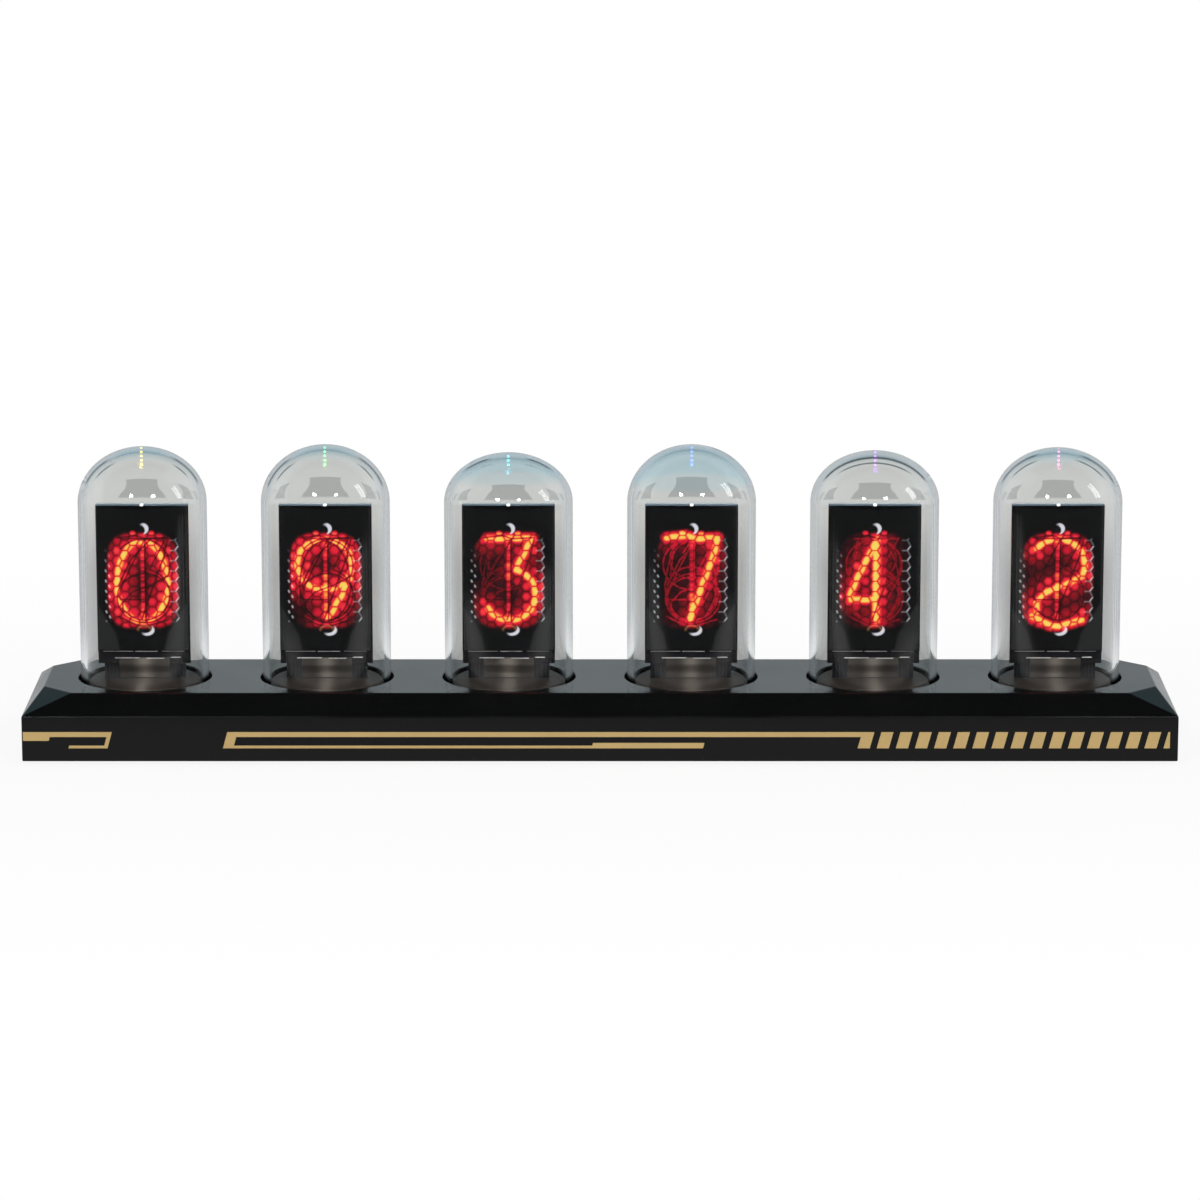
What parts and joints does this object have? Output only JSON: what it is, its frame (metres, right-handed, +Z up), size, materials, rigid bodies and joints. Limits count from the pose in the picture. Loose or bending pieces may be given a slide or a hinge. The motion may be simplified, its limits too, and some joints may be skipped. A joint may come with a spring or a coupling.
{
  "type": "picture-tube desk clock",
  "caption": "Low faceted desk-clock base with a row of lift-off glass domes, each over an upright LCD panel showing a glowing digit; rear setting keys and power inlet.",
  "frame": {"origin": "on the table under the middle of the base", "axes": "+X to the right seen from the front, along the row of tubes; +Y to the rear; +Z up"},
  "size_m": [0.219, 0.0389, 0.0582],
  "materials": {
    "housing": "satin black",
    "gold_foil": "matt gold foil",
    "cover": "fine texture",
    "rubber": "matt",
    "screw_steel": "zinc plated",
    "main_board": "solder mask",
    "carrier_board": "black solder mask",
    "shield_metal": "stamped tin plate",
    "chip": "moulded",
    "cell_holder": "moulded",
    "cell_metal": "nickel plated",
    "led_body": "moulded white",
    "key": "satin",
    "plunger": "moulded",
    "socket": "polished dark brown",
    "backlight": "moulded pale tray",
    "lcd": "polished, with a lit picture",
    "flex": "amber film",
    "dome_glass": "clear polished"
  },
  "bodies": {
    "base": {"upper_housing": "housing", "front_stripes": "gold_foil", "bottom_cover": "cover", "rubber_feet": "rubber", "cover_screws": "screw_steel", "main_board": "main_board", "board_screws": "screw_steel", "processor_board": "carrier_board", "processor_shield": "shield_metal", "clock_chip": "chip", "cell_holder": "cell_holder", "backup_cell": "cell_metal", "usb_shell": "shield_metal", "usb_tongue": "chip", "switch_bodies": "chip", "glow_leds": "led_body", "display_connectors": "chip", "display_parts": "chip", "tube_socket_1": "socket", "display_board_1": "carrier_board", "lcd_backlight_1": "backlight", "lcd_panel_1": "lcd", "display_flex_1": "flex", "tube_socket_2": "socket", "display_board_2": "carrier_board", "lcd_backlight_2": "backlight", "lcd_panel_2": "lcd", "display_flex_2": "flex", "tube_socket_3": "socket", "display_board_3": "carrier_board", "lcd_backlight_3": "backlight", "lcd_panel_3": "lcd", "display_flex_3": "flex", "tube_socket_4": "socket", "display_board_4": "carrier_board", "lcd_backlight_4": "backlight", "lcd_panel_4": "lcd", "display_flex_4": "flex", "tube_socket_5": "socket", "display_board_5": "carrier_board", "lcd_backlight_5": "backlight", "lcd_panel_5": "lcd", "display_flex_5": "flex", "tube_socket_6": "socket", "display_board_6": "carrier_board", "lcd_backlight_6": "backlight", "lcd_panel_6": "lcd", "display_flex_6": "flex"},
    "mode_key": {"mode_button": "key", "mode_plunger": "plunger"},
    "minus_key": {"minus_button": "key", "minus_plunger": "plunger"},
    "plus_key": {"plus_button": "key", "plus_plunger": "plunger"},
    "dome_1": {"glass_dome_1": "dome_glass"},
    "dome_2": {"glass_dome_2": "dome_glass"},
    "dome_3": {"glass_dome_3": "dome_glass"},
    "dome_4": {"glass_dome_4": "dome_glass"},
    "dome_5": {"glass_dome_5": "dome_glass"},
    "dome_6": {"glass_dome_6": "dome_glass"}
  },
  "joints": [
    {"name": "mode_press", "type": "slide", "parent": "base", "child": "mode_key", "axis": [0, -1, 0], "range_m": [0, 0.0004], "stiffness_N_per_m": 1500},
    {"name": "minus_press", "type": "slide", "parent": "base", "child": "minus_key", "axis": [0, -1, 0], "range_m": [0, 0.0004], "stiffness_N_per_m": 1500},
    {"name": "plus_press", "type": "slide", "parent": "base", "child": "plus_key", "axis": [0, -1, 0], "range_m": [0, 0.0004], "stiffness_N_per_m": 1500},
    {"name": "dome_lift_1", "type": "slide", "parent": "base", "child": "dome_1", "axis": [0, 0, 1], "range_m": [0, 0.045]},
    {"name": "dome_lift_2", "type": "slide", "parent": "base", "child": "dome_2", "axis": [0, 0, 1], "range_m": [0, 0.045]},
    {"name": "dome_lift_3", "type": "slide", "parent": "base", "child": "dome_3", "axis": [0, 0, 1], "range_m": [0, 0.045]},
    {"name": "dome_lift_4", "type": "slide", "parent": "base", "child": "dome_4", "axis": [0, 0, 1], "range_m": [0, 0.045]},
    {"name": "dome_lift_5", "type": "slide", "parent": "base", "child": "dome_5", "axis": [0, 0, 1], "range_m": [0, 0.045]},
    {"name": "dome_lift_6", "type": "slide", "parent": "base", "child": "dome_6", "axis": [0, 0, 1], "range_m": [0, 0.045]}
  ]
}
